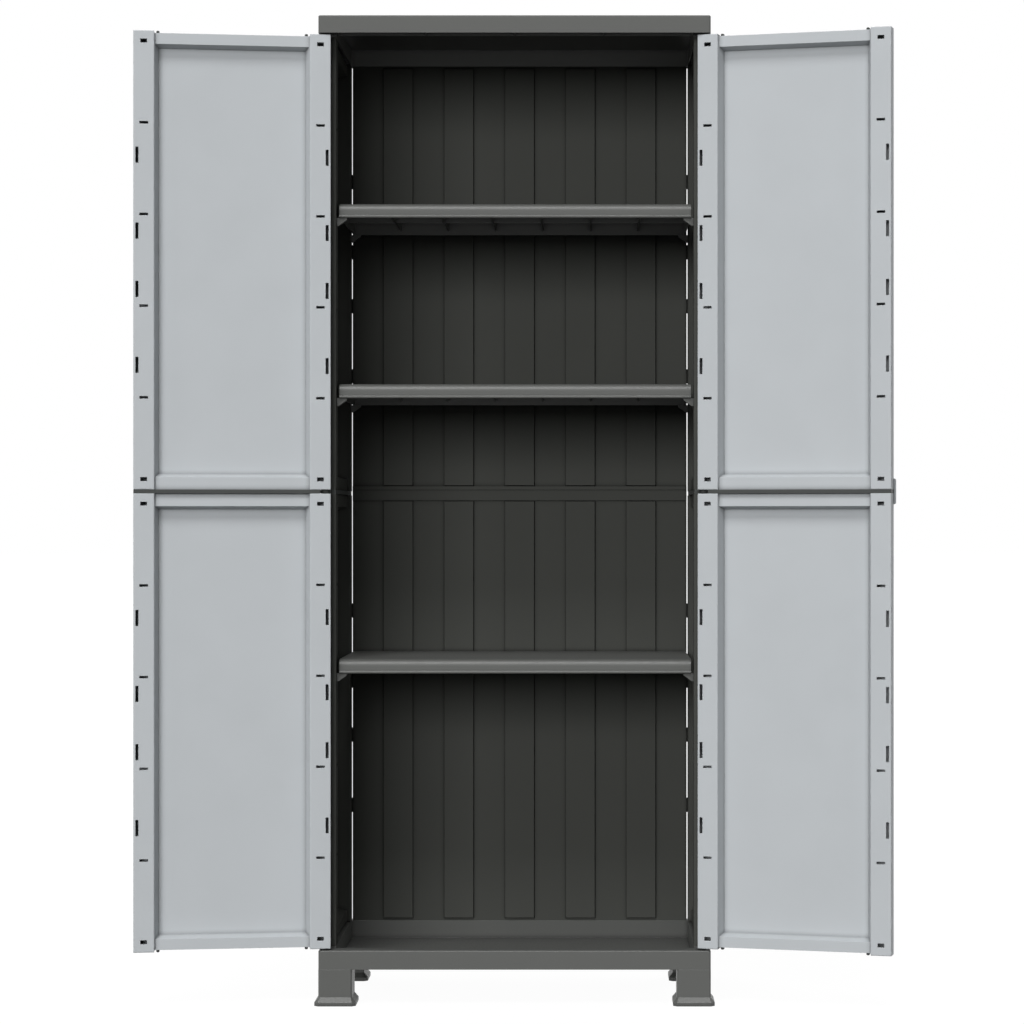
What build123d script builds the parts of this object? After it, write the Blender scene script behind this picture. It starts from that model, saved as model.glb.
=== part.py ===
from build123d import *
import os
from math import atan, cos, degrees, hypot, radians, sin

# Two-door plastic storage cabinet on four feet, standing with both doors open.
# Millimetres. +Z is up, +Y runs from the doors to the back, +X is to the right as seen from the front.
# The origin is on the floor, in the middle of the case's footprint.

# Case
CASE_WIDTH = 652.0
CASE_DEPTH = 370.0
CASE_HEIGHT = 1645.0
CAP_HEIGHT = 29.0
TRAY_HEIGHT = 31.5
WALL = 3.0
RIB = 2.5
RIB_PITCH = 148.0
CASE_CORNER_RADIUS = 4.0
CASE_EDGE_CHAMFER = 1.5
SIDE_REAR_MARGIN = 14.24

# Framed panel: one moulding that makes both the doors and the side walls, which come out equally wide
PANEL_THICKNESS = 26.0
PANEL_INSET = 1.0
MEETING_GAP = 1.5
JOINT_GAP = 6.5
STILE = 34.0
RAIL = 21.0
RAIL_SETBACK = 3.0
RAIL_STEP = 6.0
RECESS_SLOPE = 7.0
EDGE_CHAMFER = 1.0
FIELD_MARGIN = 14.0
FIELD_DEPTH = 0.8

# Slots in the panel's stiles, placed from its centre and from its long edges
SHELF_SLOT_PITCH = 151.0
SHELF_SLOT_LENGTH = 14.0
SHELF_SLOT_HEIGHT = 4.2
SHELF_SLOT_FROM_EDGE = 17.0
END_WINDOW_LENGTH = 11.0
END_WINDOW_HEIGHT = 6.5
END_WINDOW_FROM_END = 17.0
HOOK_SLOT_LENGTH = 26.5
HOOK_SLOT_WIDTH = 5.0
HOOK_SLOT_FROM_EDGE = 6.0
HOOK_SLOT_NEAR = 48.0
HOOK_SLOT_FAR = 173.0

# Locating pegs in the panels' ends
PEG_SIZE = 5.2
PEG_CHAMFER = 1.2
PEG_DEPTH = 7.0
PEG_FROM_EDGE = 40.0
PEG_CLEARANCE = 0.1
DOOR_PEG_END_CLEARANCE = 1.0
SIDE_PEG_ENGAGEMENT = 7.0
BOSS_WALL = 3.5

# Door hinges
DOOR_SETBACK = 2.0
DOOR_END_GAP = 2.5
PIVOT_FROM_EDGE = 9.0
PIN_RADIUS = 4.0
PIN_DEPTH = 10.0
PIN_CLEARANCE = 0.1
PIN_END_CLEARANCE = 0.3
SWING_CLEARANCE = 0.7
LUG_WALL = 4.0
LUG_CLEARANCE = 0.5
LUG_TO_STRIP = 0.4
STRIP_SETBACK = 1.0
LEFT_DOOR_OPEN_ANGLE = 172.2
RIGHT_DOOR_OPEN_ANGLE = 165.1

# Door handles
HANDLE_HEIGHT = 50.0
HANDLE_PLATE_WIDTH = 28.0
HANDLE_PLATE_THICKNESS = 3.5
HANDLE_PLATE_CHAMFER = 4.0
HANDLE_FROM_EDGE = 1.5
HANDLE_OVERLAP = 3.5
HANDLE_OVERLAP_CLEARANCE = 0.6
GRIP_FROM_EDGE = 9.0
GRIP_THICKNESS = 5.0
GRIP_REACH = 24.0
GRIP_CORNER_RADIUS = 10.0
PADLOCK_HOLE_RADIUS = 4.0

# Back wall
BACK_FACE_FROM_REAR = 25.0
BACK_RIM_DEPTH = 16.0
BACK_SIDE_GAP = 2.0
BOARD_COUNT = 11
BOARD_RELIEF = 4.0
BOARD_END_MARGIN = 4.0
BOARD_STRIP_CLEARANCE = 0.5
BOARD_DRAFT = 1.5
HOOK_CLEARANCE = 0.5
HOOK_REACH = 6.0
BACK_STRIP_HEIGHT = 25.0
BACK_STRIP_FLANGE = 3.0
BACK_STRIP_BEAD_HEIGHT = 6.0
BACK_STRIP_BEAD_DEPTH = 1.5

# Shelves and their brackets; the list gives the shelf on each row of shelf slots, counted up from the floor
SHELF_THICKNESS = 24.0
SHELF_FRONT_FROM_FRONT = 40.0
SHELF_BACK_CLEARANCE = 1.0
SHELF_SIDE_CLEARANCE = 4.5
SHELF_NOSE_RADIUS = 6.0
SHELF_BEAD_RADIUS = 2.5
SHELF_RIB_DEPTH = 14.0
SHELF_RIB_COUNT = 7
SHELF_ON_ROW = [None, None, "lower", None, "middle", None, "upper", None]
BRACKET_REACH = 17.0
BRACKET_DROP = 13.0
BRACKET_SIDE_CLEARANCE = 1.0
BRACKET_TOE = 3.0
BRACKET_HOOK_CLEARANCE = 0.4
BRACKET_HOOK_LIP = 3.0

# Feet
FOOT_HEIGHT = 60.0
FOOT_WIDTH = 56.0
FOOT_DEPTH = 60.0
FOOT_FLARE = 6.5
FOOT_PAD_HEIGHT = 6.0
FOOT_FLARE_HEIGHT = 8.0
FOOT_WALL = 4.0
FOOT_EDGE_CHAMFER = 2.5
REAR_FOOT_SETBACK = 48.0
SPIGOT_LENGTH = 20.0
SPIGOT_HEIGHT = 22.0
SPIGOT_OFFSET = 12.0
SPIGOT_CLEARANCE = 0.3

# Heights worked out from the sizes above
ledge_z = FOOT_HEIGHT + TRAY_HEIGHT
cap_z = CASE_HEIGHT - CAP_HEIGHT
floor_z = FOOT_HEIGHT + WALL
seat_z = ledge_z + DOOR_END_GAP
ceiling_z = cap_z - DOOR_END_GAP
panel_height = (ceiling_z - seat_z - JOINT_GAP) / 2
joint_z = (ceiling_z + seat_z) / 2
lower_z = seat_z + panel_height / 2
upper_z = ceiling_z - panel_height / 2

# Plan positions worked out from the sizes above
front_y = -CASE_DEPTH / 2
rear_y = CASE_DEPTH / 2
door_width = (CASE_WIDTH - 2 * PANEL_INSET - MEETING_GAP) / 2
side_x = CASE_WIDTH / 2 - PANEL_INSET
inner_x = side_x - PANEL_THICKNESS
pivot_x = side_x - PIVOT_FROM_EDGE
pivot_y = front_y + DOOR_SETBACK + PANEL_THICKNESS / 2
swing_radius = hypot(PIVOT_FROM_EDGE, PANEL_THICKNESS / 2)
side_front_y = pivot_y + swing_radius + SWING_CLEARANCE
side_rear_y = rear_y - SIDE_REAR_MARGIN
side_mid_y = (side_front_y + side_rear_y) / 2
side_width = side_rear_y - side_front_y
back_y = rear_y - BACK_FACE_FROM_REAR
back_half_width = inner_x - BACK_SIDE_GAP
rim_width = CASE_WIDTH / 2 - inner_x
rim_x = inner_x + rim_width / 2
well_depth = back_y - side_front_y
well_mid_y = (back_y + side_front_y) / 2
pivot_u = door_width / 2 - PIVOT_FROM_EDGE
hook_slot_rows = [-HOOK_SLOT_FAR, -HOOK_SLOT_NEAR, HOOK_SLOT_NEAR, HOOK_SLOT_FAR]
shelf_slot_rows = [SHELF_SLOT_PITCH * step for step in (-1.5, -0.5, 0.5, 1.5)]
shelf_row_z = [lower_z + v for v in shelf_slot_rows] + [upper_z + v for v in shelf_slot_rows]

pin_boss = 2 * (PIN_RADIUS + BOSS_WALL)
peg_boss = PEG_SIZE + 2 * BOSS_WALL
peg_socket = PEG_SIZE + 2 * PEG_CLEARANCE
lug_radius = PIN_RADIUS + LUG_WALL
door_peg_length = RAIL_SETBACK + DOOR_END_GAP - DOOR_PEG_END_CLEARANCE
side_peg_length = RAIL_SETBACK + SIDE_PEG_ENGAGEMENT
socket_depth = PIN_DEPTH + DOOR_END_GAP
seat_depth = rear_y - PANEL_INSET - side_front_y

# Places of the feet, their spigots, the hinge pins and the side walls' pegs
foot_rows = {
    "front": front_y + FOOT_DEPTH / 2,
    "rear": rear_y - REAR_FOOT_SETBACK - FOOT_DEPTH / 2,
}
spigot_rows = {"front": foot_rows["front"] + SPIGOT_OFFSET, "rear": foot_rows["rear"] - SPIGOT_OFFSET}
spigot_rib = SPIGOT_LENGTH / 2 + SPIGOT_CLEARANCE + RIB / 2
rim_rib_rows = [row + end * spigot_rib for row in spigot_rows.values() for end in (-1, 1)]
pin_places = [(side * pivot_x, pivot_y) for side in (-1, 1)]
peg_x = side_x - PANEL_THICKNESS / 2
peg_rows = [side_front_y + PEG_FROM_EDGE, side_rear_y - PEG_FROM_EDGE]
peg_places = [(side * peg_x, row) for side in (-1, 1) for row in peg_rows]

up = Vector(0, 0, 1)
os.makedirs("parts", exist_ok=True)


def save(piece, name):
    """Label a finished piece and write it under its own name."""
    piece.part.label = name
    export_step(piece.part, f"parts/{name}.step")


def facing(point, inward, upward):
    """Plane on a panel's outer face, with its normal inward and its local Y upward."""
    return Plane(origin=point, x_dir=upward.cross(inward), z_dir=inward)


def framed_panel(name, plane, width, pin_edge=0):
    """Hollow stiles, lower-lying rails and a thin sunk field; the plane is at the centre of the outer face.

    A door's panel has hinge holes along the long edge that pin_edge gives, and a wall's panel has none.
    """
    recess_depth = PANEL_THICKNESS - WALL
    slope = RECESS_SLOPE / recess_depth
    taper = degrees(atan(slope))
    opening_width = width - 2 * STILE
    opening_height = panel_height - 2 * RAIL
    peg_u = width / 2 - PEG_FROM_EDGE
    shelf_slot_u = width / 2 - SHELF_SLOT_FROM_EDGE
    hook_slot_u = width / 2 - HOOK_SLOT_FROM_EDGE
    stile_hollow_length = panel_height - 2 * (PIN_DEPTH + WALL)
    rail_hollow_length = 2 * (peg_u - peg_socket / 2 - WALL)
    rail_hollow_v = (panel_height - RAIL - RAIL_SETBACK) / 2
    inner_face = plane.offset(PANEL_THICKNESS)
    thickness_axis = Axis(plane.origin, plane.z_dir)
    with BuildPart() as panel:
        with BuildSketch(plane):
            Rectangle(width, panel_height)
        extrude(amount=PANEL_THICKNESS)
        with BuildSketch(inner_face):
            Rectangle(opening_width, panel_height + 2 * RECESS_SLOPE)
        extrude(amount=-RAIL_STEP, taper=taper, mode=Mode.SUBTRACT)
        chamfer(panel.faces().group_by(thickness_axis)[-1].edges(), EDGE_CHAMFER)
        with BuildSketch(inner_face.offset(-RAIL_STEP)):
            Rectangle(opening_width - 2 * RAIL_STEP * slope, opening_height)
        extrude(amount=RAIL_STEP - recess_depth, taper=taper, mode=Mode.SUBTRACT)
        with BuildSketch(plane.offset(WALL)):
            with GridLocations(width - STILE, 1, 2, 1):
                Rectangle(STILE - 2 * WALL, stile_hollow_length)
        extrude(amount=recess_depth - WALL, mode=Mode.SUBTRACT)
        with BuildSketch(plane.offset(WALL)):
            with GridLocations(1, 2 * rail_hollow_v, 1, 2):
                Rectangle(rail_hollow_length, RAIL - RAIL_SETBACK - 2 * WALL)
        extrude(amount=recess_depth - RAIL_STEP - WALL, mode=Mode.SUBTRACT)
        for end in (-1, 1):
            end_plane = Plane(
                origin=plane.from_local_coords((0, end * panel_height / 2, PANEL_THICKNESS / 2)),
                x_dir=plane.x_dir,
                z_dir=plane.y_dir * -end,
            )
            with BuildSketch(end_plane):
                with GridLocations(2 * peg_u, 1, 2, 1):
                    Rectangle(peg_socket, peg_socket)
                if pin_edge:
                    with Locations((pin_edge * pivot_u, 0)):
                        Circle(PIN_RADIUS + PIN_CLEARANCE)
            extrude(amount=PIN_DEPTH, mode=Mode.SUBTRACT)
        with BuildSketch(plane):
            with Locations((0, (panel_height - RAIL_SETBACK) / 2)):
                Rectangle(opening_width, RAIL_SETBACK)
        extrude(amount=PANEL_THICKNESS, mode=Mode.SUBTRACT)
        with BuildSketch(inner_face):
            with Locations([(side * shelf_slot_u, row) for side in (-1, 1) for row in shelf_slot_rows]):
                Rectangle(SHELF_SLOT_LENGTH, SHELF_SLOT_HEIGHT)
            with Locations([(side * hook_slot_u, row) for side in (-1, 1) for row in hook_slot_rows]):
                Rectangle(HOOK_SLOT_WIDTH, HOOK_SLOT_LENGTH)
            with GridLocations(2 * shelf_slot_u, panel_height - 2 * END_WINDOW_FROM_END, 2, 2):
                Rectangle(END_WINDOW_LENGTH, END_WINDOW_HEIGHT)
        extrude(amount=-WALL, mode=Mode.SUBTRACT)
        with BuildSketch(plane):
            Rectangle(width - 2 * FIELD_MARGIN, panel_height - 2 * FIELD_MARGIN)
        extrude(amount=FIELD_DEPTH, mode=Mode.SUBTRACT)
    save(panel, name)


def joining_strip(name, plane, width, start_u, lug=False):
    """Flat strip between two stacked panels, doweled into both; on a side wall it carries the hinge lug."""
    strip_depth = PANEL_THICKNESS - 2 * STRIP_SETBACK
    length = width / 2 - start_u
    peg_u = width / 2 - PEG_FROM_EDGE
    mid = plane.offset(-JOINT_GAP / 2)
    dowel_reach = JOINT_GAP / 2 + PEG_DEPTH
    lug_half = JOINT_GAP / 2 - LUG_CLEARANCE
    with BuildPart() as strip:
        with BuildSketch(mid):
            with Locations((start_u + length / 2, PANEL_THICKNESS / 2)):
                Rectangle(length, strip_depth)
        extrude(amount=JOINT_GAP)
        with BuildSketch(plane):
            with Locations((-peg_u, PANEL_THICKNESS / 2), (peg_u, PANEL_THICKNESS / 2)):
                Rectangle(PEG_SIZE, PEG_SIZE)
        extrude(amount=dowel_reach, both=True)
        if lug:
            lug_u = start_u - (side_front_y - pivot_y)
            lug_t = side_x - pivot_x
            with BuildSketch(plane):
                with Locations(((lug_u + start_u) / 2, lug_t)):
                    Rectangle(start_u - lug_u, 2 * lug_radius)
                with Locations((lug_u, lug_t)):
                    Circle(lug_radius)
            extrude(amount=lug_half, both=True)
            with BuildSketch(plane):
                with Locations((lug_u, lug_t)):
                    Circle(PIN_RADIUS)
            extrude(amount=lug_half + PEG_DEPTH, both=True)
    save(strip, name)


def panel_pegs(name, planes, width, length):
    """Square pegs, two in the set-back outer rail of each panel that a plane stands for."""
    peg_u = width / 2 - PEG_FROM_EDGE
    with BuildPart() as pegs:
        for plane in planes:
            root_v = panel_height / 2 - RAIL_SETBACK - PEG_DEPTH
            root = plane.from_local_coords((0, root_v, PANEL_THICKNESS / 2))
            with BuildSketch(Plane(origin=root, x_dir=plane.x_dir, z_dir=plane.y_dir)):
                with GridLocations(2 * peg_u, 1, 2, 1):
                    Rectangle(PEG_SIZE, PEG_SIZE)
            extrude(amount=PEG_DEPTH + length)
        ends = pegs.faces().filter_by(Plane.XY).group_by(Axis.Z)
        chamfer((ends[0] + ends[-1]).edges(), PEG_CHAMFER)
    save(pegs, name)


def hinge_pins(name, x):
    """The pins at the two ends of a door: the lower one stands in the base and carries the door."""
    length = 2 * PIN_DEPTH + DOOR_END_GAP - PIN_END_CLEARANCE
    with BuildPart() as pins:
        for root_z, away in ((seat_z + PIN_DEPTH, -1), (ceiling_z - PIN_DEPTH, 1)):
            with BuildSketch(Plane(origin=(x, pivot_y, root_z), z_dir=(0, 0, away))):
                Circle(PIN_RADIUS)
            extrude(amount=length)
    save(pins, name)


def door_handle(name, corner, along, inward, overlap):
    """Plate over the door's joint with a flat grip; the overlap covers the gap to the other door."""
    outer = Plane(origin=corner, x_dir=along, z_dir=inward * -1)
    lip_room = 0 if overlap else HANDLE_OVERLAP - MEETING_GAP
    plate_u = -HANDLE_FROM_EDGE - lip_room - HANDLE_PLATE_WIDTH / 2
    grip_u = -GRIP_FROM_EDGE
    with BuildPart() as handle:
        with BuildSketch(outer):
            with Locations((plate_u, 0)):
                Rectangle(HANDLE_PLATE_WIDTH, HANDLE_HEIGHT)
            chamfer(vertices(), HANDLE_PLATE_CHAMFER)
        extrude(amount=HANDLE_PLATE_THICKNESS)
        if overlap:
            lip_width = HANDLE_FROM_EDGE + HANDLE_OVERLAP + HANDLE_PLATE_CHAMFER
            with BuildSketch(outer.offset(HANDLE_OVERLAP_CLEARANCE)):
                with Locations((HANDLE_OVERLAP - lip_width / 2, 0)):
                    Rectangle(lip_width, HANDLE_HEIGHT - 2 * HANDLE_PLATE_CHAMFER)
                chamfer(vertices().sort_by(Axis.X)[-2:], HANDLE_OVERLAP / 2)
            extrude(amount=HANDLE_PLATE_THICKNESS - HANDLE_OVERLAP_CLEARANCE)
        grip_side = Plane(
            origin=outer.from_local_coords((grip_u, 0, 0)),
            x_dir=outer.z_dir,
            z_dir=along,
        )
        with BuildSketch(grip_side):
            with Locations((GRIP_REACH / 2, 0)):
                Rectangle(GRIP_REACH, HANDLE_HEIGHT - 2 * HANDLE_PLATE_CHAMFER)
            fillet(vertices().sort_by(Axis.X)[-2:], GRIP_CORNER_RADIUS)
            with Locations((GRIP_REACH / 2 + HANDLE_PLATE_THICKNESS / 2, 0)):
                Circle(PADLOCK_HOLE_RADIUS, mode=Mode.SUBTRACT)
        extrude(amount=-GRIP_THICKNESS)
    save(handle, name)


def rim_cells(plane):
    """Plan of the hollows in the case's rim: a ring, less the ribs and the bosses for pins and pegs."""
    front_rim_mid = (front_y + side_front_y) / 2
    rear_rim_mid = (rear_y + back_y) / 2
    ribs_across = int(2 * inner_x / RIB_PITCH) + 1
    with BuildSketch(plane) as cells:
        Rectangle(CASE_WIDTH - 2 * WALL, CASE_DEPTH - 2 * WALL)
        with Locations((0, well_mid_y)):
            Rectangle(2 * (inner_x + WALL), well_depth + 2 * WALL, mode=Mode.SUBTRACT)
        with Locations(pin_places):
            Rectangle(pin_boss, pin_boss, mode=Mode.SUBTRACT)
        with Locations(peg_places):
            Rectangle(rim_width, peg_boss, mode=Mode.SUBTRACT)
        with Locations([(side * rim_x, row) for side in (-1, 1) for row in rim_rib_rows]):
            Rectangle(rim_width, RIB, mode=Mode.SUBTRACT)
        with Locations((0, front_rim_mid)):
            with GridLocations(RIB_PITCH, 1, ribs_across, 1):
                Rectangle(RIB, side_front_y - front_y, mode=Mode.SUBTRACT)
        with Locations((0, rear_rim_mid)):
            with GridLocations(RIB_PITCH, 1, ribs_across, 1):
                Rectangle(RIB, rear_y - back_y, mode=Mode.SUBTRACT)
    return cells.sketch


def case_sockets(plane):
    """Plan of the holes that take the door pins and the side walls' pegs."""
    with BuildSketch(plane) as sockets:
        with Locations(pin_places):
            Circle(PIN_RADIUS + PIN_CLEARANCE)
        with Locations(peg_places):
            Rectangle(peg_socket, peg_socket)
    return sockets.sketch


def shelf(name, bottom_z):
    """Ribbed tray-shaped shelf with a rounded nose and a bead along the bottom of its front apron."""
    half_width = inner_x - SHELF_SIDE_CLEARANCE
    nose_y = front_y + SHELF_FRONT_FROM_FRONT
    tail_y = back_y - BOARD_RELIEF - SHELF_BACK_CLEARANCE
    depth = tail_y - nose_y
    top_z = bottom_z + SHELF_THICKNESS
    with BuildPart() as board:
        with BuildSketch(Plane.XY.offset(bottom_z)):
            with Locations((0, (nose_y + tail_y) / 2)):
                Rectangle(2 * half_width, depth)
        extrude(amount=SHELF_THICKNESS)
        fillet(board.faces().sort_by(Axis.Z)[-1].edges().sort_by(Axis.Y)[0], SHELF_NOSE_RADIUS)
        with BuildSketch(Plane.XY.offset(bottom_z)):
            with Locations((0, (nose_y + tail_y) / 2)):
                Rectangle(2 * (half_width - WALL), depth - 2 * SHELF_NOSE_RADIUS)
        extrude(amount=SHELF_THICKNESS - WALL, mode=Mode.SUBTRACT)
        with BuildSketch(Plane.XY.offset(top_z - WALL - SHELF_RIB_DEPTH)):
            with Locations((0, (nose_y + tail_y) / 2)):
                with GridLocations(2 * half_width / SHELF_RIB_COUNT, 1, SHELF_RIB_COUNT - 1, 1):
                    Rectangle(RIB, depth - 2 * WALL)
                Rectangle(2 * (half_width - WALL), RIB)
        extrude(amount=SHELF_RIB_DEPTH)
        with BuildSketch(Plane.YZ.offset(-half_width + WALL)):
            with Locations((nose_y, bottom_z + SHELF_BEAD_RADIUS)):
                Circle(SHELF_BEAD_RADIUS)
        extrude(amount=2 * (half_width - WALL))
    save(board, name)


def shelf_bracket(name, side, y, seat):
    """Triangular gusset whose hook goes through a shelf slot and turns up behind the panel's wall."""
    hook_height = SHELF_SLOT_HEIGHT - 2 * BRACKET_HOOK_CLEARANCE
    half_width = SHELF_SLOT_LENGTH / 2 - BRACKET_SIDE_CLEARANCE
    wall_plane = Plane(origin=(side * inner_x, y, seat), x_dir=(-side, 0, 0), z_dir=(0, side, 0))
    hook_back = -(WALL + BRACKET_HOOK_CLEARANCE + BRACKET_HOOK_LIP)
    with BuildPart() as bracket:
        with BuildSketch(wall_plane):
            with BuildLine():
                Polyline(
                    (0, 0),
                    (BRACKET_REACH, 0),
                    (BRACKET_REACH, -BRACKET_TOE),
                    (BRACKET_TOE, -BRACKET_DROP),
                    (0, -BRACKET_DROP),
                    close=True,
                )
            make_face()
        extrude(amount=half_width, both=True)
        with BuildSketch(wall_plane):
            with Locations((hook_back / 2, -hook_height / 2)):
                Rectangle(-hook_back, hook_height)
            with Locations((hook_back + BRACKET_HOOK_LIP / 2, 0)):
                Rectangle(BRACKET_HOOK_LIP, 2 * hook_height)
        extrude(amount=half_width, both=True)
    save(bracket, name)


def foot(name, side, row):
    """Hollow square column that flares to a pad, with a spigot that plugs into the base's rim."""
    x = side * (CASE_WIDTH - FOOT_WIDTH) / 2
    y = foot_rows[row]
    column_height = FOOT_HEIGHT - FOOT_FLARE_HEIGHT - FOOT_PAD_HEIGHT
    flare_angle = degrees(atan(FOOT_FLARE / FOOT_FLARE_HEIGHT))
    spigot_width = rim_width - 2 * WALL - 2 * SPIGOT_CLEARANCE
    top_of_flare = Plane((x, y, FOOT_PAD_HEIGHT + FOOT_FLARE_HEIGHT))
    with BuildPart() as leg:
        with BuildSketch(top_of_flare):
            Rectangle(FOOT_WIDTH, FOOT_DEPTH)
            chamfer(vertices(), FOOT_EDGE_CHAMFER)
        extrude(amount=-FOOT_FLARE_HEIGHT)
        draft(leg.faces().filter_by(Axis.Z, reverse=True), top_of_flare, flare_angle)
        extrude(leg.faces().sort_by(Axis.Z)[-1], amount=column_height)
        extrude(leg.faces().sort_by(Axis.Z)[0], amount=FOOT_PAD_HEIGHT)
        with BuildSketch(Plane((x, y, 0))):
            Rectangle(FOOT_WIDTH - 2 * FOOT_WALL, FOOT_DEPTH - 2 * FOOT_WALL)
        extrude(amount=FOOT_HEIGHT - FOOT_WALL, mode=Mode.SUBTRACT)
        with BuildSketch(Plane((side * rim_x, spigot_rows[row], FOOT_HEIGHT))):
            Rectangle(spigot_width, SPIGOT_LENGTH)
        extrude(amount=SPIGOT_HEIGHT)
    save(leg, name)


def back_panel(name, mid_z, joint_end):
    """Rimmed sheet with five raised boards, and hooks that reach into the side walls' rear slots.

    The boards stop short of the joining strip, which covers the end on the side that joint_end gives.
    """
    face = Plane(origin=(0, back_y, mid_z), x_dir=(1, 0, 0), z_dir=(0, -1, 0))
    board_width = 2 * back_half_width / BOARD_COUNT
    strip_margin = (BACK_STRIP_HEIGHT - JOINT_GAP) / 2 + BOARD_STRIP_CLEARANCE
    board_length = panel_height - BOARD_END_MARGIN - strip_margin
    board_v = joint_end * (BOARD_END_MARGIN - strip_margin) / 2
    board_taper = degrees(atan(BOARD_DRAFT / BOARD_RELIEF))
    hook_length = HOOK_SLOT_LENGTH - 2 * HOOK_CLEARANCE
    hook_width = BACK_SIDE_GAP + HOOK_REACH
    hook_x = back_half_width + hook_width / 2
    hook_y = side_rear_y - HOOK_SLOT_FROM_EDGE
    with BuildPart() as wall:
        with BuildSketch(face):
            Rectangle(2 * back_half_width, panel_height)
        extrude(amount=-BACK_RIM_DEPTH)
        with BuildSketch(face.offset(-BACK_RIM_DEPTH)):
            Rectangle(2 * (back_half_width - WALL), panel_height - 2 * WALL)
        extrude(amount=BACK_RIM_DEPTH - WALL, mode=Mode.SUBTRACT)
        with BuildSketch(face):
            with Locations((0, board_v)):
                with GridLocations(2 * board_width, 1, BOARD_COUNT // 2, 1):
                    Rectangle(board_width, board_length)
        extrude(amount=BOARD_RELIEF, taper=board_taper)
        with BuildSketch(face.offset(-WALL)):
            with Locations((0, board_v)):
                with GridLocations(2 * board_width, 1, BOARD_COUNT // 2, 1):
                    Rectangle(board_width - 2 * WALL, board_length - 2 * WALL)
        extrude(amount=BOARD_RELIEF, mode=Mode.SUBTRACT)
        with BuildSketch(Plane(origin=(0, hook_y, mid_z), x_dir=(1, 0, 0), z_dir=(0, -1, 0))):
            with Locations([(side * hook_x, v) for side in (-1, 1) for v in hook_slot_rows]):
                Rectangle(hook_width, hook_length)
        extrude(amount=HOOK_SLOT_WIDTH / 2 - HOOK_CLEARANCE, both=True)
    save(wall, name)


# Base: a floor tray with a hollow rim, a ledge under the doors and raised seats under the walls
with BuildPart() as base_tray:
    with BuildSketch(Plane.XY.offset(FOOT_HEIGHT)):
        RectangleRounded(CASE_WIDTH, CASE_DEPTH, CASE_CORNER_RADIUS)
    extrude(amount=TRAY_HEIGHT)
    chamfer(base_tray.faces().sort_by(Axis.Z)[-1].edges(), CASE_EDGE_CHAMFER)
    with BuildSketch(Plane.XY.offset(ledge_z - CASE_EDGE_CHAMFER)):
        with Locations((0, side_front_y + seat_depth / 2)):
            Rectangle(2 * side_x, seat_depth)
    extrude(amount=DOOR_END_GAP + CASE_EDGE_CHAMFER)
    with BuildSketch(Plane.XY.offset(floor_z)):
        with Locations((0, well_mid_y)):
            Rectangle(2 * inner_x, well_depth)
    extrude(amount=seat_z - floor_z, mode=Mode.SUBTRACT)
    extrude(rim_cells(Plane.XY.offset(FOOT_HEIGHT)), amount=TRAY_HEIGHT - WALL, mode=Mode.SUBTRACT)
    extrude(case_sockets(Plane.XY.offset(seat_z)), amount=-socket_depth, mode=Mode.SUBTRACT)
save(base_tray, "base_tray")

# Top: a lid whose rim hangs down over the walls, with open cells between its two walls
cap_hollow = CASE_HEIGHT - WALL - ceiling_z
with BuildPart() as top_cap:
    with BuildSketch(Plane.XY.offset(cap_z)):
        RectangleRounded(CASE_WIDTH, CASE_DEPTH, CASE_CORNER_RADIUS)
    extrude(amount=CAP_HEIGHT)
    chamfer(top_cap.faces().sort_by(Axis.Z)[-1].edges(), CASE_EDGE_CHAMFER)
    with BuildSketch(Plane.XY.offset(ceiling_z)):
        with Locations((0, side_front_y + seat_depth / 2)):
            Rectangle(2 * side_x, seat_depth)
    extrude(amount=DOOR_END_GAP)
    with BuildSketch(Plane.XY.offset(ceiling_z)):
        with Locations((0, well_mid_y)):
            Rectangle(2 * inner_x, well_depth)
    extrude(amount=cap_hollow, mode=Mode.SUBTRACT)
    extrude(rim_cells(Plane.XY.offset(ceiling_z)), amount=cap_hollow, mode=Mode.SUBTRACT)
    extrude(case_sockets(Plane.XY.offset(ceiling_z)), amount=socket_depth, mode=Mode.SUBTRACT)
save(top_cap, "top_cap")

# Feet
for row in ("front", "rear"):
    foot(f"{row}_left_foot", -1, row)
    foot(f"{row}_right_foot", 1, row)

# Back wall
back_panel("lower_back_panel", lower_z, joint_end=1)
back_panel("upper_back_panel", upper_z, joint_end=-1)
bead_z = joint_z + (BACK_STRIP_HEIGHT - BACK_STRIP_BEAD_HEIGHT) / 2
with BuildPart() as back_strip:
    with BuildSketch(Plane.YZ.offset(-back_half_width)):
        with Locations((back_y + BACK_RIM_DEPTH / 2, joint_z)):
            Rectangle(BACK_RIM_DEPTH, JOINT_GAP)
        with Locations((back_y - BACK_STRIP_FLANGE / 2, joint_z)):
            Rectangle(BACK_STRIP_FLANGE, BACK_STRIP_HEIGHT)
        with Locations((back_y - (BACK_STRIP_FLANGE + BACK_STRIP_BEAD_DEPTH) / 2, bead_z)):
            Rectangle(BACK_STRIP_FLANGE + BACK_STRIP_BEAD_DEPTH, BACK_STRIP_BEAD_HEIGHT)
        with Locations((back_y + BACK_RIM_DEPTH + BACK_STRIP_FLANGE / 2, joint_z)):
            Rectangle(BACK_STRIP_FLANGE, BACK_STRIP_HEIGHT)
    extrude(amount=2 * back_half_width)
save(back_strip, "back_joining_strip")

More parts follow.
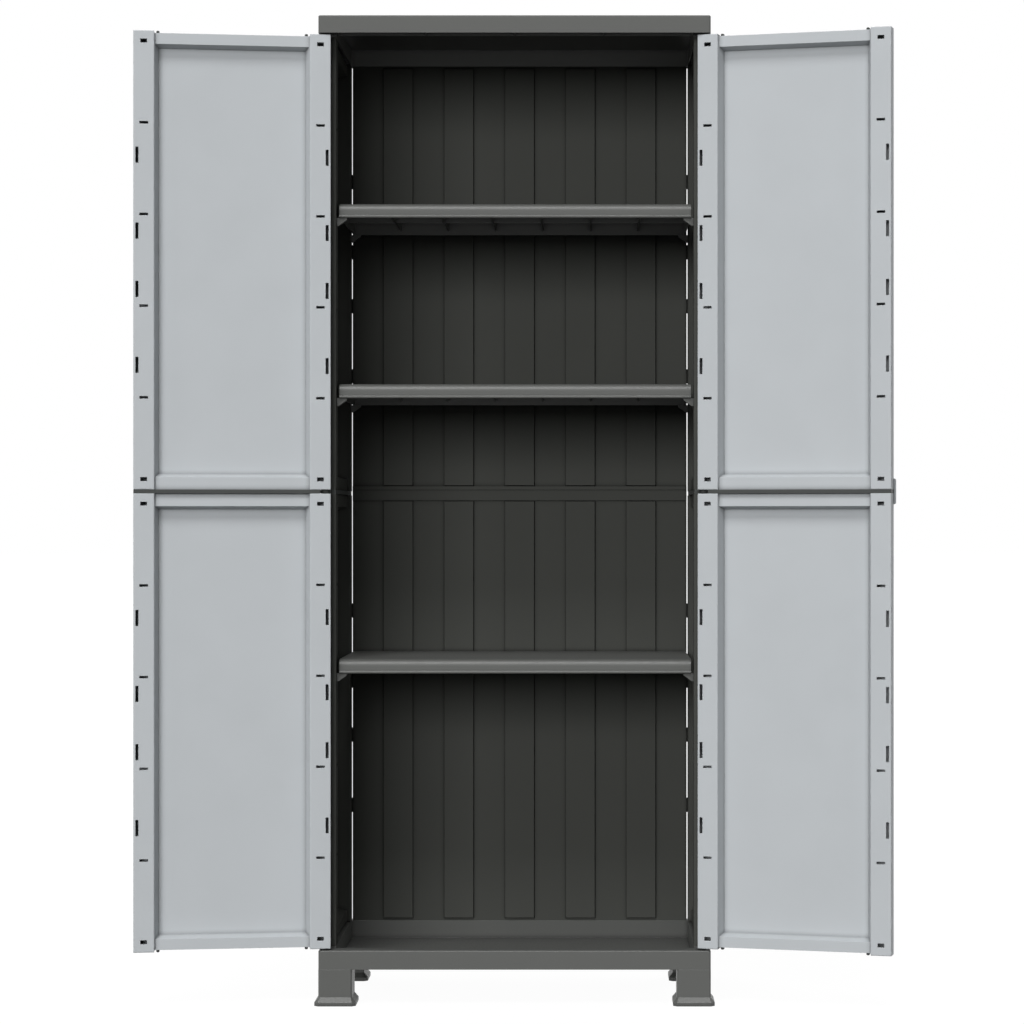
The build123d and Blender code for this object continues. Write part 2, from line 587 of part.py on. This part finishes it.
# Side walls
for name, side in (("left", -1), ("right", 1)):
    inward = Vector(-side, 0, 0)
    lower = facing((side * side_x, side_mid_y, lower_z), inward, up * -1)
    upper = facing((side * side_x, side_mid_y, upper_z), inward, up)
    framed_panel(f"{name}_side_lower_panel", lower, side_width)
    framed_panel(f"{name}_side_upper_panel", upper, side_width)
    panel_pegs(f"{name}_side_pegs", (lower, upper), side_width, side_peg_length)
    along = Vector(0, 1, 0)
    strip_plane = Plane((side * side_x, side_mid_y, joint_z), x_dir=along, z_dir=along.cross(inward))
    joining_strip(f"{name}_side_joining_strip", strip_plane, side_width, -side_width / 2, lug=True)

# Doors, turned about their pivots to where they stand open
for name, side, open_angle in (("left", -1, LEFT_DOOR_OPEN_ANGLE), ("right", 1, RIGHT_DOOR_OPEN_ANGLE)):
    turn = radians(open_angle)
    along = Vector(-side * cos(turn), -sin(turn), 0)
    inward = Vector(-side * sin(turn), cos(turn), 0)
    pivot = Vector(side * pivot_x, pivot_y, 0)
    middle = pivot + along * pivot_u - inward * (PANEL_THICKNESS / 2)
    free_edge = middle + along * (door_width / 2)
    lower = facing(middle + up * lower_z, inward, up * -1)
    upper = facing(middle + up * upper_z, inward, up)
    framed_panel(f"{name}_door_lower_panel", lower, door_width, pin_edge=side)
    framed_panel(f"{name}_door_upper_panel", upper, door_width, pin_edge=-side)
    panel_pegs(f"{name}_door_pegs", (lower, upper), door_width, door_peg_length)
    strip_plane = Plane(middle + up * joint_z, x_dir=along, z_dir=along.cross(inward))
    strip_start = -pivot_u + lug_radius + LUG_TO_STRIP
    joining_strip(f"{name}_door_joining_strip", strip_plane, door_width, strip_start)
    hinge_pins(f"{name}_door_hinge_pins", side * pivot_x)
    door_handle(f"{name}_door_handle", free_edge + up * joint_z, along, inward, overlap=side > 0)

# Shelves, each on four brackets hooked into one row of slots
bracket_rows = {
    "front": side_front_y + SHELF_SLOT_FROM_EDGE,
    "rear": side_rear_y - SHELF_SLOT_FROM_EDGE,
}
for level, row_z in zip(SHELF_ON_ROW, shelf_row_z):
    if level is None:
        continue
    seat = row_z + SHELF_SLOT_HEIGHT / 2 - BRACKET_HOOK_CLEARANCE
    shelf(f"{level}_shelf", seat)
    for row, y in bracket_rows.items():
        shelf_bracket(f"{level}_shelf_{row}_left_bracket", -1, y, seat)
        shelf_bracket(f"{level}_shelf_{row}_right_bracket", 1, y, seat)
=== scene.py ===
import math

import bmesh
import bpy
import numpy as np
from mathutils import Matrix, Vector


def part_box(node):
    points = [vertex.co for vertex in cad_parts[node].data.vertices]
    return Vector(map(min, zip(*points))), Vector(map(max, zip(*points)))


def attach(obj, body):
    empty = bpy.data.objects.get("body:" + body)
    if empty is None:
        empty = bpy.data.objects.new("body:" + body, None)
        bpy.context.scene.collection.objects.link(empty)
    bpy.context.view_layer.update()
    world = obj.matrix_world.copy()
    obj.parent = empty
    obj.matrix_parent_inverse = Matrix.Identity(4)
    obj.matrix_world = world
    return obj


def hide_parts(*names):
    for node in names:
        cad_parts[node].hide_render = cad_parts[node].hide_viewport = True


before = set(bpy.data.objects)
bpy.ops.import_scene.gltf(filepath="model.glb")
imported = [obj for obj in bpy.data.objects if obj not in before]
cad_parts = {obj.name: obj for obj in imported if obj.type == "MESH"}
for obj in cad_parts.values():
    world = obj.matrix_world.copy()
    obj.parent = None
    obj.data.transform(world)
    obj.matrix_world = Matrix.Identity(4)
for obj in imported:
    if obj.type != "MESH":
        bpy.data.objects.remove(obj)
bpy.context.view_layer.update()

# Two-door plastic storage cabinet, open, in a plain white studio. Metres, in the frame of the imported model.
MM = 0.001

# Photograph's frame: the lens looks level along +Y from in front of the right half of the case
FRAME_PIXELS = 1024
SENSOR_MM = 36.0
FOCAL_PIXELS = 2891.0
AXIS_PIXEL = (591.0, 518.0)
CAMERA_PLACE = (0.127, -4.985, 0.810)
LENS_REACH = 200.0

# Colours of the mouldings and of their edges, lighter as wear and as a painted highlight, and of the floor,
# as sRGB
DOOR_GREY = "#b6babd"
DOOR_EDGE = "#c2c6c9"
CASE_GREY = "#515250"
CASE_EDGE = "#626361"
# The walls' grey is the case's plastic darkened: painted shade for the inside of the case
WALL_SHADED_GREY = "#474845"
WALL_SHADED_EDGE = "#4b4c49"
TRIM_BLACK = "#454746"
TRIM_EDGE = "#525453"
PAPER_GREY = "#404040"

# Lamps: azimuth to the right of the front and elevation in degrees, width and height in metres, and level.
# A level of 1 on a facing surface shows its colour as it is written.
LAMP_DISTANCE = 30.0
LAMP_AIM = (0, 0, 0.82)
LAMPS = {
    "key": (-17, 12, 18.0, 10.0, 0.65),
    "top": (-8, 56, 12.0, 10.0, 0.64),
    "left": (-55, 12, 8.0, 10.0, 0.05),
    "right": (50, 12, 8.0, 10.0, 0.06),
    "rear_left": (-142, 20, 15.0, 12.0, 0.62),
    "rear_right": (142, 20, 15.0, 12.0, 0.62),
}
MIRRORED_LAMP = "top"

# World's level, and the floor's half width and glow, which rises from near to far over the reach given
WORLD_LEVEL = 0.04
FLOOR_HALF_WIDTH = 60.0
FLOOR_GLOW_NEAR = 0.965
FLOOR_GLOW_FAR = 1.00
FLOOR_NEAR_REACH = 1.0
FLOOR_FAR_REACH = 4.0

# Polypropylene: IOR, the clouds left by uneven cooling, the grain and how far it moves the roughness, and the
# range of noise that both use
PLASTIC_IOR = 1.49
CLOUD_MM = 90.0
CLOUD_DETAIL = 3.0
CLOUD_STRENGTH = 0.015
GRAIN_DETAIL = 2.0
GRAIN_GLOSS = 0.05
NOISE_LOW = 0.3
NOISE_HIGH = 0.7

# Radius that the mould leaves on every edge, and the cosines of its turn where the wear and painted highlight
# start and are full
EDGE_ROUND_MM = 1.0
EDGE_SAMPLES = 6
WEAR_AND_HIGHLIGHT_STARTS = 0.995
WEAR_AND_HIGHLIGHT_FULL = 0.90

# Painted shade in inner corners: its reach, the tone left in the deepest, and the openness where it is full
# and ends
CORNER_SHADE_REACH_MM = 9.0
CORNER_SHADE_SAMPLES = 8
CORNER_SHADE_TONE = 0.45
CORNER_SHADE_FULL = 0.45
CORNER_SHADE_ENDS = 0.95

# Sockets of a Mix node that mixes two colours
MIX_SHARE = 0
MIX_FIRST = 6
MIX_SECOND = 7
MIX_RESULT = 2

# Shelves: nose and bead radii, the walls of the hollow underneath and its ribs, in mm
NOSE_RADIUS = 12.0
BEAD_RADIUS = 2.5
APRON = 6.0
SKIN = 3.0
RIB_THICKNESS = 2.5
RIB_DEPTH = 14.0
RIB_ROOT = 0.5

# Shelves: spaces between ribs, steps of each round stretch, and the angle from which an edge stays sharp
RIB_SPACES = 7
NOSE_STEPS = 12
BEAD_STEPS = 8
SHARP_FROM_DEGREES = 30.0


def linear(hex_colour):
    """Linear RGBA of an sRGB colour written as #rrggbb."""
    shares = [int(hex_colour[at:at + 2], 16) / 255 for at in (1, 3, 5)]
    return [s / 12.92 if s <= 0.04045 else ((s + 0.055) / 1.055) ** 2.4 for s in shares] + [1.0]


def add_node(tree, kind, inputs=None, **settings):
    """Add one node; inputs maps a socket's name or number to a value or to the output that feeds it."""
    made = tree.nodes.new(kind)
    for name, value in settings.items():
        setattr(made, name, value)
    for name, value in (inputs or {}).items():
        if isinstance(value, bpy.types.NodeSocket):
            tree.links.new(value, made.inputs[name])
        else:
            made.inputs[name].default_value = value
    return made


def new_tree(name):
    """A new material and its emptied node tree."""
    material = bpy.data.materials.new(name)
    material.use_nodes = True
    material.node_tree.nodes.clear()
    return material, material.node_tree


def moulded_polypropylene(name, colour, worn_and_highlight_colour, roughness, shine, grain_mm, grain_depth_mm):
    """Polypropylene from a spark-eroded mould: a satin skin with an even grain and soft edges, lighter as
    wear and as a painted highlight.

    The real grain is about 0.3 mm wide, too fine to show, so it is drawn at grain_mm. Broad clouds stand for
    the uneven cooling of a large thin wall, and inner corners get a darker line of painted shade.
    """
    material, tree = new_tree(name)
    place = add_node(tree, "ShaderNodeTexCoord").outputs["Object"]

    # Edges: where the rounded normal turns away from the face, the colour is the lighter worn one, which is
    # also a painted highlight
    face = add_node(tree, "ShaderNodeNewGeometry").outputs["Normal"]
    rounded = add_node(tree, "ShaderNodeBevel", {"Radius": EDGE_ROUND_MM * MM}, samples=EDGE_SAMPLES)
    soft = rounded.outputs["Normal"]
    turn = add_node(tree, "ShaderNodeVectorMath", {0: face, 1: soft}, operation="DOT_PRODUCT")
    edge = add_node(tree, "ShaderNodeMapRange", {
        "Value": turn.outputs["Value"], "From Min": WEAR_AND_HIGHLIGHT_STARTS, "From Max": WEAR_AND_HIGHLIGHT_FULL})

    # Colour: clouds first, then the worn edges with their painted highlight, then painted shade in inner
    # corners over both
    clouds = add_node(tree, "ShaderNodeTexNoise", {
        "Vector": place, "Scale": 1 / (CLOUD_MM * MM), "Detail": CLOUD_DETAIL})
    shade = add_node(tree, "ShaderNodeMapRange", {
        "Value": clouds.outputs["Fac"], "From Min": NOISE_LOW, "From Max": NOISE_HIGH,
        "To Min": 1 - CLOUD_STRENGTH, "To Max": 1 + CLOUD_STRENGTH})
    clouded = add_node(tree, "ShaderNodeVectorMath", {
        0: linear(colour)[:3], "Scale": shade.outputs["Result"]}, operation="SCALE")
    worn_and_highlit = add_node(tree, "ShaderNodeMix", {
        MIX_SHARE: edge.outputs["Result"], MIX_FIRST: clouded.outputs["Vector"],
        MIX_SECOND: linear(worn_and_highlight_colour)}, data_type="RGBA")
    # Painted shade: the colour is darkened where the occlusion finds an inner corner close by
    openness = add_node(tree, "ShaderNodeAmbientOcclusion", {
        "Distance": CORNER_SHADE_REACH_MM * MM}, samples=CORNER_SHADE_SAMPLES)
    corner_shade = add_node(tree, "ShaderNodeMapRange", {
        "Value": openness.outputs["AO"], "From Min": CORNER_SHADE_FULL, "From Max": CORNER_SHADE_ENDS,
        "To Min": CORNER_SHADE_TONE, "To Max": 1.0})
    corner_shaded = add_node(tree, "ShaderNodeVectorMath", {
        0: worn_and_highlit.outputs[MIX_RESULT], "Scale": corner_shade.outputs["Result"]}, operation="SCALE")

    # Grain: it moves the roughness a little and stands on the rounded normal as a shallow bump
    grain = add_node(tree, "ShaderNodeTexNoise", {
        "Vector": place, "Scale": 1 / (grain_mm * MM), "Detail": GRAIN_DETAIL})
    gloss = add_node(tree, "ShaderNodeMapRange", {
        "Value": grain.outputs["Fac"], "From Min": NOISE_LOW, "From Max": NOISE_HIGH,
        "To Min": roughness - GRAIN_GLOSS, "To Max": roughness + GRAIN_GLOSS})
    bump = add_node(tree, "ShaderNodeBump", {
        "Strength": 1.0, "Distance": grain_depth_mm * MM, "Height": grain.outputs["Fac"], "Normal": soft})
    skin = add_node(tree, "ShaderNodeBsdfPrincipled", {
        "Base Color": corner_shaded.outputs["Vector"], "Roughness": gloss.outputs["Result"], "IOR": PLASTIC_IOR,
        "Specular IOR Level": shine, "Normal": bump.outputs["Normal"]})
    add_node(tree, "ShaderNodeOutputMaterial", {"Surface": skin.outputs["BSDF"]})
    return material


def carried(profile, start, end, closed):
    """A (depth, height) profile carried straight across the width from start to end, as points and quads.

    Each quad joins two neighbours on the profile at start to the same two at end. A closed profile also joins
    its last point to its first.
    """
    count = len(profile)
    points = np.column_stack([np.repeat([start, end], count), np.tile(profile, (2, 1))])
    here = np.arange(count if closed else count - 1)
    after = (here + 1) % count
    return points, np.column_stack([here, after, after + count, here + count])


def end_faces(first, count):
    """The two faces that close a carried profile of count points, whose points start at number first."""
    return [list(range(first, first + count)), list(range(first + count, first + 2 * count))]


def shelf_outline(front, tail, bottom, top):
    """Outside of a shelf in depth and height, from the bottom of its back round to the bottom of its front.

    It runs up the back, along the top, a quarter turn round the nose, down the apron and half a turn round
    the bead.
    """
    nose, bead = NOSE_RADIUS * MM, BEAD_RADIUS * MM
    quarter = np.linspace(0, np.pi / 2, NOSE_STEPS + 1)
    half = np.linspace(0, np.pi, BEAD_STEPS + 1)
    nose_arc = np.column_stack([front + nose - nose * np.sin(quarter), top - nose + nose * np.cos(quarter)])
    bead_arc = np.column_stack([front - bead * np.sin(half), bottom + bead + bead * np.cos(half)])
    return np.vstack([[[tail, bottom], [tail, top]], nose_arc, bead_arc])


def rectangle(low_y, high_y, low_z, high_z):
    """Corners of a rectangle in depth and height, from its low back one up and round to its low front one."""
    return np.array([[high_y, low_z], [high_y, high_z], [low_y, high_z], [low_y, low_z]])


def shelf_surface(node):
    """Points and faces of a shelf that fills the CAD shelf's box.

    The outline is carried across the width and closed at both ends. A box-shaped hollow, carried the same
    way, is let in from below and leaves a rim all round. Ribs, rectangles carried through the hollow, stand
    across it at even steps and once along its middle, with roots sunk a little into the walls and the top.
    """
    (left, low_y, bottom), (right, tail, top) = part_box(node)
    front = low_y + BEAD_RADIUS * MM
    skin, apron, root = SKIN * MM, APRON * MM, RIB_ROOT * MM
    outside, outer_quads = carried(shelf_outline(front, tail, bottom, top), left, right, False)
    hollow, inner_quads = carried(
        rectangle(front + apron, tail - apron, bottom, top - skin), left + skin, right - skin, False)
    size, count, corners = len(outside), len(outside) // 2, len(hollow) // 2
    points = [outside, hollow]
    faces = outer_quads.tolist() + (inner_quads + size).tolist()
    faces += end_faces(0, count) + end_faces(size, corners)

    # Rim round the hollow's mouth, from the outside's lowest corners to the hollow's
    back_left, front_left = size, size + corners - 1
    back_right, front_right = size + corners, size + 2 * corners - 1
    faces += [[0, count - 1, front_left, back_left], [count, size - 1, front_right, back_right],
              [0, count, back_right, back_left], [count - 1, size - 1, front_right, front_left]]

    # Ribs across the hollow at even steps, and one along its middle
    half_rib = RIB_THICKNESS * MM / 2
    rib_low, rib_high = top - skin - RIB_DEPTH * MM, top - skin + root
    middle = (front + tail) / 2
    across = rectangle(front + apron - root, tail - apron + root, rib_low, rib_high)
    along = rectangle(middle - half_rib, middle + half_rib, rib_low, rib_high)
    ribs = [(across, x - half_rib, x + half_rib) for x in np.linspace(left, right, RIB_SPACES + 1)[1:-1]]
    ribs.append((along, left + skin - root, right - skin + root))
    for profile, start, end in ribs:
        rib, quads = carried(profile, start, end, True)
        first = sum(len(part) for part in points)
        points.append(rib)
        faces += (quads + first).tolist() + end_faces(first, corners)
    return np.vstack(points), faces


def full_nosed_shelf(node, finish):
    """Shelf with the full, round nose that the photograph shows, in the place of the CAD shelf."""
    points, faces = shelf_surface(node)
    mesh = bpy.data.meshes.new(f"{node}_full_nosed")
    mesh.from_pydata(points.tolist(), [], faces)
    shape = bmesh.new()
    shape.from_mesh(mesh)
    bmesh.ops.recalc_face_normals(shape, faces=shape.faces)
    shape.to_mesh(mesh)
    shape.free()
    mesh.shade_smooth()
    mesh.set_sharp_from_angle(angle=math.radians(SHARP_FROM_DEGREES))
    mesh.materials.append(finish)
    piece = bpy.data.objects.new(mesh.name, mesh)
    bpy.context.scene.collection.objects.link(piece)
    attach(piece, "cabinet")
    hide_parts(node)


def seen_by_eye(tree):
    """Factor that is 1 for what the eye sees straight, mirrored or through glass, 0 for lighting rays."""
    path = add_node(tree, "ShaderNodeLightPath").outputs
    either = add_node(tree, "ShaderNodeMath", {
        0: path["Is Camera Ray"], 1: path["Is Glossy Ray"]}, operation="MAXIMUM")
    return add_node(tree, "ShaderNodeMath", {
        0: either.outputs[0], 1: path["Is Transmission Ray"]}, operation="MAXIMUM").outputs[0]


def studio_floor():
    """White paper floor: it takes the object's shadow, and glows for the eye to melt into the backdrop."""
    half = FLOOR_HALF_WIDTH
    corners = [(-half, -half, 0), (half, -half, 0), (half, half, 0), (-half, half, 0)]
    mesh = bpy.data.meshes.new("studio_floor")
    mesh.from_pydata(corners, [], [(0, 1, 2, 3)])
    floor = bpy.data.objects.new("studio_floor", mesh)
    bpy.context.scene.collection.objects.link(floor)
    material, tree = new_tree("white_paper")
    place = add_node(tree, "ShaderNodeTexCoord").outputs["Object"]
    reach = add_node(tree, "ShaderNodeVectorMath", {0: place}, operation="LENGTH").outputs["Value"]
    glow = add_node(tree, "ShaderNodeMapRange", {
        "Value": reach, "From Min": FLOOR_NEAR_REACH, "From Max": FLOOR_FAR_REACH,
        "To Min": FLOOR_GLOW_NEAR, "To Max": FLOOR_GLOW_FAR})
    strength = add_node(tree, "ShaderNodeMath", {
        0: glow.outputs["Result"], 1: seen_by_eye(tree)}, operation="MULTIPLY")
    paper = add_node(tree, "ShaderNodeBsdfDiffuse", {"Color": linear(PAPER_GREY)})
    light = add_node(tree, "ShaderNodeEmission", {"Strength": strength.outputs[0]})
    both = add_node(tree, "ShaderNodeAddShader", {0: paper.outputs[0], 1: light.outputs[0]})
    add_node(tree, "ShaderNodeOutputMaterial", {"Surface": both.outputs[0]})
    mesh.materials.append(material)


def studio_world():
    """Even light from all round, and plain white where the eye looks past the object."""
    world = bpy.data.worlds.new("studio")
    bpy.context.scene.world = world
    world.use_nodes = True
    tree = world.node_tree
    tree.nodes.clear()
    strength = add_node(tree, "ShaderNodeMapRange", {
        "Value": seen_by_eye(tree), "To Min": WORLD_LEVEL, "To Max": 1.0})
    sky = add_node(tree, "ShaderNodeBackground", {
        "Color": (1, 1, 1, 1), "Strength": strength.outputs["Result"]})
    add_node(tree, "ShaderNodeOutputWorld", {"Surface": sky.outputs["Background"]})


def softbox(name, azimuth, elevation, width, height, level):
    """Lamp aimed at the cabinet's middle, seen from there at the azimuth (to the right) and elevation given.

    A lamp of power P at distance d lights a facing surface of share a with a * P / (pi * d) ** 2. Only one
    lamp is mirrored by the plastic, as a line of light along the shelves' noses.
    """
    a, e = math.radians(azimuth), math.radians(elevation)
    towards = Vector((math.sin(a) * math.cos(e), -math.cos(a) * math.cos(e), math.sin(e)))
    lamp = bpy.data.lights.new(name, "AREA")
    lamp.shape = "RECTANGLE"
    lamp.size = width
    lamp.size_y = height
    lamp.energy = level * (math.pi * LAMP_DISTANCE) ** 2
    light = bpy.data.objects.new(name, lamp)
    light.location = Vector(LAMP_AIM) + towards * LAMP_DISTANCE
    light.rotation_euler = towards.to_track_quat("Z", "Y").to_euler()
    light.visible_glossy = name == MIRRORED_LAMP
    bpy.context.scene.collection.objects.link(light)


def photograph_camera():
    """Level camera whose shift puts the lens axis on the photograph's own axis pixel."""
    lens = bpy.data.cameras.new("camera")
    lens.sensor_width = SENSOR_MM
    lens.lens = FOCAL_PIXELS * SENSOR_MM / FRAME_PIXELS
    lens.shift_x = (FRAME_PIXELS / 2 - AXIS_PIXEL[0]) / FRAME_PIXELS
    lens.shift_y = (AXIS_PIXEL[1] - FRAME_PIXELS / 2) / FRAME_PIXELS
    lens.clip_end = LENS_REACH
    camera = bpy.data.objects.new("camera", lens)
    camera.location = CAMERA_PLACE
    camera.rotation_euler = (math.pi / 2, 0, 0)
    bpy.context.scene.collection.objects.link(camera)
    bpy.context.scene.camera = camera


def finish_of(node):
    """Finish of a CAD node, by its part in the cabinet."""
    if "door" in node and ("panel" in node or "handle" in node):
        return door_finish
    if ("side" in node and "panel" in node) or "back_panel" in node or node == "back_joining_strip":
        return shaded_wall_finish
    if "strip" in node or "pegs" in node or "pins" in node:
        return trim_finish
    return case_finish


# Doors: pale and almost without shine, so that their fields look even from side to side
door_finish = moulded_polypropylene(
    "pale_grey_moulded_polypropylene", DOOR_GREY, DOOR_EDGE,
    roughness=0.50, shine=0.12, grain_mm=2.4, grain_depth_mm=0.03)
# Cap, base, feet, shelves and brackets: dark, with a shine that draws light lines on round edges
case_finish = moulded_polypropylene(
    "dark_grey_moulded_polypropylene", CASE_GREY, CASE_EDGE,
    roughness=0.47, shine=0.58, grain_mm=2.4, grain_depth_mm=0.03)
# Side and back walls, with the back strip: the case's grey darkened as painted shade, so that the inside of
# the case stays deep, and dull
shaded_wall_finish = moulded_polypropylene(
    "shaded_dark_grey_moulded_polypropylene", WALL_SHADED_GREY, WALL_SHADED_EDGE,
    roughness=0.60, shine=0.05, grain_mm=2.4, grain_depth_mm=0.03)
# Door and side strips, pegs and pins: small black parts with a finer grain, a little smoother than the rest
trim_finish = moulded_polypropylene(
    "black_moulded_polypropylene", TRIM_BLACK, TRIM_EDGE,
    roughness=0.45, shine=0.20, grain_mm=1.6, grain_depth_mm=0.02)
for name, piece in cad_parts.items():
    piece.data.materials.clear()
    piece.data.materials.append(finish_of(name))

for level in ("lower", "middle", "upper"):
    full_nosed_shelf(f"{level}_shelf", case_finish)

studio_floor()
studio_world()
for name, place_and_level in LAMPS.items():
    softbox(name, *place_and_level)
photograph_camera()
bpy.context.scene.view_settings.view_transform = "Standard"
